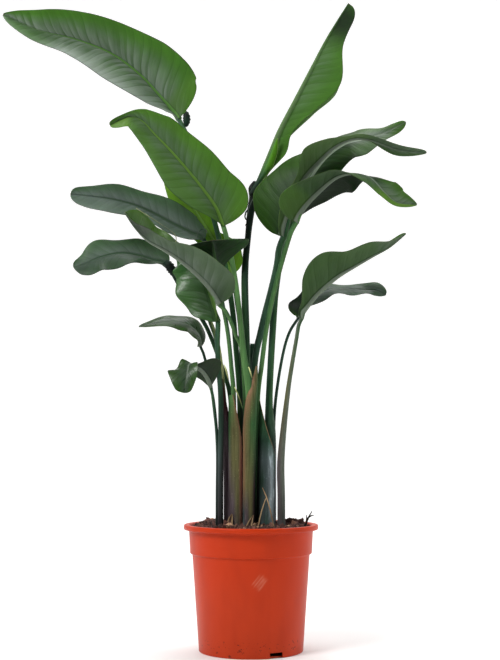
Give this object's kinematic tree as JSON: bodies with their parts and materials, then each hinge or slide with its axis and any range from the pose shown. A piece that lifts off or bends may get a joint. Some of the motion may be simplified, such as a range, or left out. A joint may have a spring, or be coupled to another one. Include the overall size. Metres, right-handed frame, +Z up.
{
  "type": "potted bird of paradise plant",
  "caption": "Potted bird of paradise: long upright stalks with broad paddle leaves that fan out above a round, tapering plastic nursery pot filled with bark soil.",
  "frame": {"origin": "centre of the pot's flat underside, which rests on the floor", "axes": "+Z up, the way the plant grows; the side that the picture shows faces -Y, and +X is to its right"},
  "size_m": [0.7762, 0.2766, 1.1947],
  "materials": {
    "pot": "satin",
    "soil": "matte",
    "stalk": "satin",
    "leaf": "satin",
    "sheath": "satin",
    "dry": "matte",
    "twig": "matte"
  },
  "bodies": {
    "root": {"pot": "pot", "soil": "soil", "stalk_top_left": "stalk", "stalk_upper_left": "stalk", "stalk_top_right": "stalk", "stalk_middle_left": "stalk", "stalk_low_centre": "stalk", "stalk_front_left": "stalk", "stalk_front_middle": "stalk", "stalk_small_left": "stalk", "stalk_bent_left": "stalk", "stalk_low_left": "stalk", "stalk_upper_right": "stalk", "stalk_front_right": "stalk", "stalk_back_right": "stalk", "stalk_low_right": "stalk", "stalk_drooping_right": "stalk", "stalk_back_middle": "stalk", "blade_top_left": "leaf", "blade_upper_left": "leaf", "blade_top_right": "leaf", "blade_middle_left": "leaf", "blade_low_centre": "leaf", "blade_front_left": "leaf", "blade_front_middle": "leaf", "blade_small_left": "leaf", "blade_bent_left": "leaf", "blade_low_left": "leaf", "blade_upper_right": "leaf", "blade_front_right": "leaf", "blade_back_right": "leaf", "blade_low_right": "leaf", "blade_drooping_right": "leaf", "blade_back_middle": "leaf", "cut_stalk": "sheath", "dry_fibre_left": "dry", "dry_fibre_right": "dry", "dry_scrap_left": "dry", "dry_scrap_right": "dry", "twig": "twig"}
  },
  "joints": []
}
